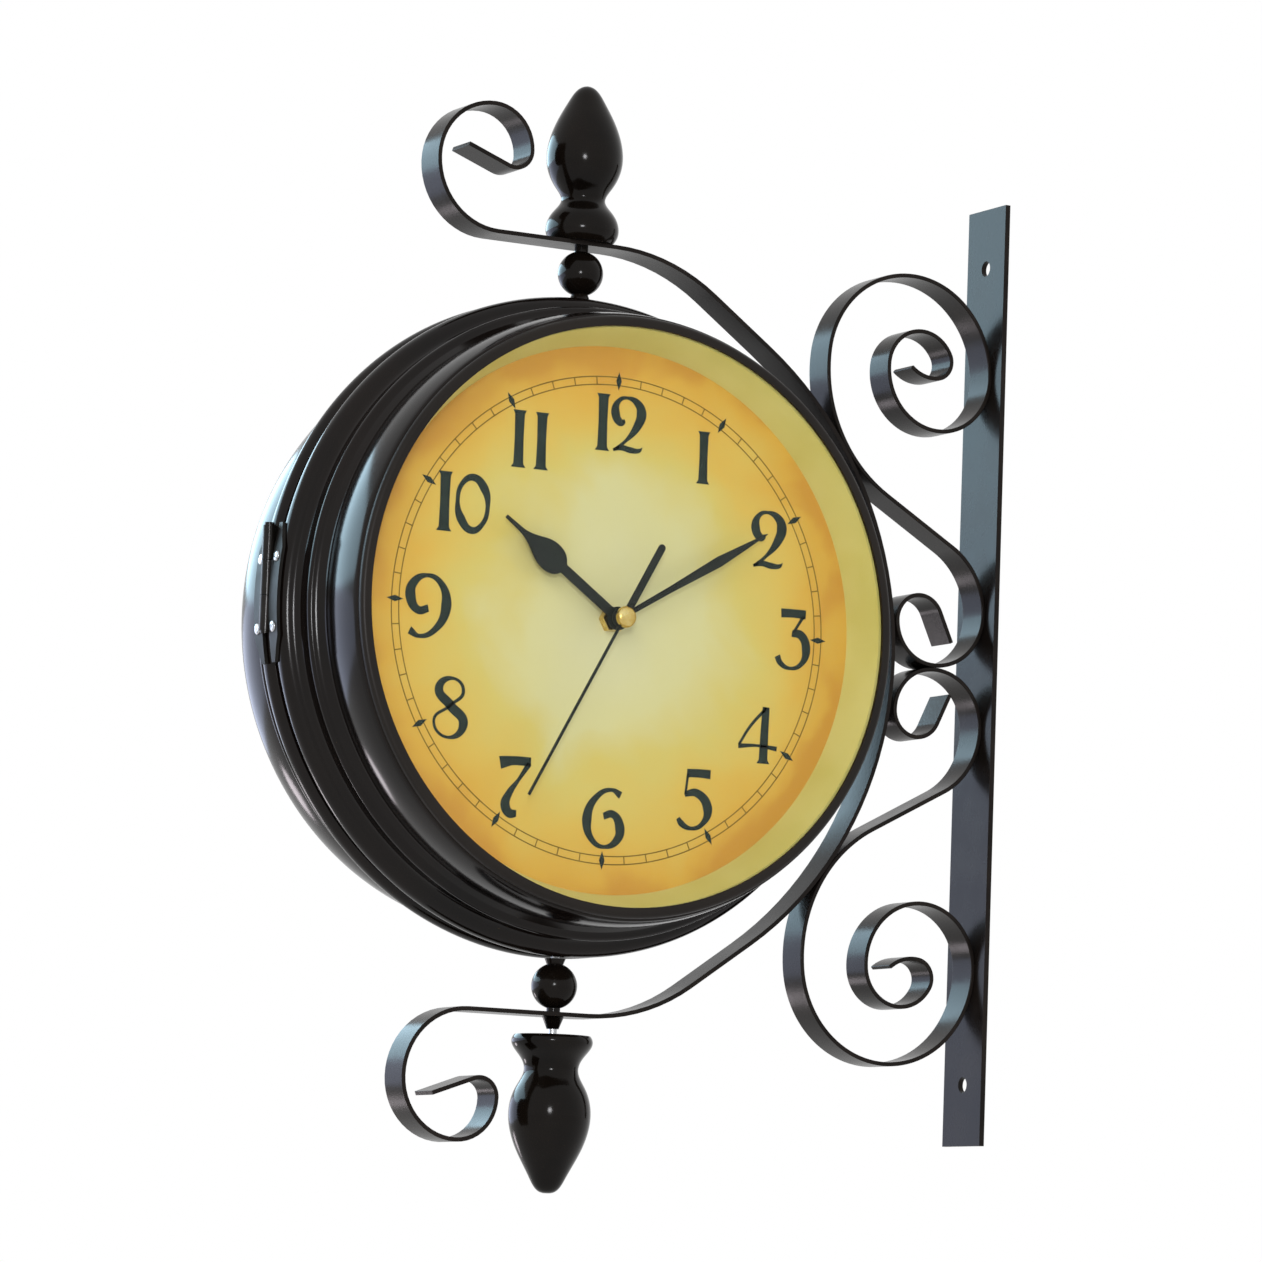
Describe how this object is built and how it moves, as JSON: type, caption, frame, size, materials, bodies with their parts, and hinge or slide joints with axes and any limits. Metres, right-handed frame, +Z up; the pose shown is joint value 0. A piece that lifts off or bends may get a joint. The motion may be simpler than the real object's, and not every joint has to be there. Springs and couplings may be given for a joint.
{
  "type": "double-sided wall clock",
  "caption": "Round two-faced clock that turns in a hoop of flat strip with scrolled ends, held out from the wall by a scrolled bracket and turned finials.",
  "frame": {"origin": "on the wall plane, midway between the two screw holes of the wall bar", "axes": "+X into the wall, the clock reaches out along -X; +Y from the front dial to the rear dial; +Z up"},
  "size_m": [0.2886, 0.0952, 0.3894],
  "materials": {
    "strip_paint": "satin",
    "gloss_paint": "gloss",
    "dark_steel": "satin",
    "steel": "bright",
    "glass": "clear",
    "bezel_plastic": "matt",
    "dial_print": "matt print",
    "movement_plastic": "fine grain",
    "cell_wrap": "gloss wrap",
    "hand_paint": "satin",
    "brass": "polished"
  },
  "bodies": {
    "bracket": {"wall_bar": "strip_paint", "hoop": "strip_paint", "upper_scroll": "strip_paint", "lower_scroll": "strip_paint", "top_finial": "gloss_paint", "bottom_finial": "gloss_paint", "top_ball": "gloss_paint", "bottom_ball": "gloss_paint", "top_rod": "steel", "bottom_rod": "steel", "cone_nut": "gloss_paint", "rod_washers": "steel", "rod_nuts": "steel"},
    "case": {"case_band": "dark_steel", "rear_shell": "gloss_paint", "band_screws": "steel", "spring_catch": "steel", "hinge_rear_leaf": "dark_steel", "hinge_pin": "steel", "hinge_rear_screws": "steel", "rear_glass": "glass", "rear_bezel_ring": "bezel_plastic", "rear_dial": "dial_print", "rear_dial_screws": "steel", "rear_movement": "movement_plastic", "rear_shaft_nut": "brass", "rear_cell": "cell_wrap"},
    "door": {"front_shell": "gloss_paint", "hinge_front_leaf": "dark_steel", "hinge_front_screws": "steel", "front_glass": "glass", "front_bezel_ring": "bezel_plastic", "front_dial": "dial_print", "front_dial_screws": "steel", "front_movement": "movement_plastic", "front_shaft_nut": "brass", "front_cell": "cell_wrap"},
    "front_minute": {"front_minute_hand": "hand_paint", "front_minute_tube": "brass"},
    "front_hour": {"front_hour_hand": "hand_paint", "front_hour_tube": "brass"},
    "front_second": {"front_second_hand": "hand_paint", "front_second_pin": "steel", "front_second_cap": "brass"},
    "front_setter": {"front_knob": "movement_plastic"},
    "rear_minute": {"rear_minute_hand": "hand_paint", "rear_minute_tube": "brass"},
    "rear_hour": {"rear_hour_hand": "hand_paint", "rear_hour_tube": "brass"},
    "rear_second": {"rear_second_hand": "hand_paint", "rear_second_pin": "steel", "rear_second_cap": "brass"},
    "rear_setter": {"rear_knob": "movement_plastic"}
  },
  "joints": [
    {"name": "case_swivel", "type": "hinge", "parent": "bracket", "child": "case", "pos_m": [-0.17, 0, 0.002], "axis": [0, 0, 1], "range_deg": [-90, 90]},
    {"name": "door_hinge", "type": "hinge", "parent": "case", "child": "door", "pos_m": [-0.2864, 0, 0.0087], "axis": [0, 0, -1], "range_deg": [0, 100]},
    {"name": "front_minute_turn", "type": "hinge", "parent": "door", "child": "front_minute", "pos_m": [-0.17, 0, 0.002], "axis": [0, 1, 0], "continuous": true},
    {"name": "front_hour_turn", "type": "hinge", "parent": "door", "child": "front_hour", "pos_m": [-0.17, 0, 0.002], "axis": [0, 1, 0], "continuous": true},
    {"name": "front_second_turn", "type": "hinge", "parent": "door", "child": "front_second", "pos_m": [-0.17, 0, 0.002], "axis": [0, 1, 0], "continuous": true},
    {"name": "front_setter_turn", "type": "hinge", "parent": "door", "child": "front_setter", "pos_m": [-0.17, 0, 0.002], "axis": [0, 1, 0], "continuous": true},
    {"name": "rear_minute_turn", "type": "hinge", "parent": "case", "child": "rear_minute", "pos_m": [-0.17, 0, 0.002], "axis": [0, -1, 0], "continuous": true},
    {"name": "rear_hour_turn", "type": "hinge", "parent": "case", "child": "rear_hour", "pos_m": [-0.17, 0, 0.002], "axis": [0, -1, 0], "continuous": true},
    {"name": "rear_second_turn", "type": "hinge", "parent": "case", "child": "rear_second", "pos_m": [-0.17, 0, 0.002], "axis": [0, -1, 0], "continuous": true},
    {"name": "rear_setter_turn", "type": "hinge", "parent": "case", "child": "rear_setter", "pos_m": [-0.17, 0, 0.002], "axis": [0, -1, 0], "continuous": true}
  ],
  "couplings": [
    {"joint": "front_minute_turn", "follows": "front_second_turn", "ratio": 0.016667},
    {"joint": "front_hour_turn", "follows": "front_second_turn", "ratio": 0.0013889},
    {"joint": "front_setter_turn", "follows": "front_second_turn", "ratio": 0.016667},
    {"joint": "rear_minute_turn", "follows": "rear_second_turn", "ratio": 0.016667},
    {"joint": "rear_hour_turn", "follows": "rear_second_turn", "ratio": 0.0013889},
    {"joint": "rear_setter_turn", "follows": "rear_second_turn", "ratio": 0.016667}
  ]
}
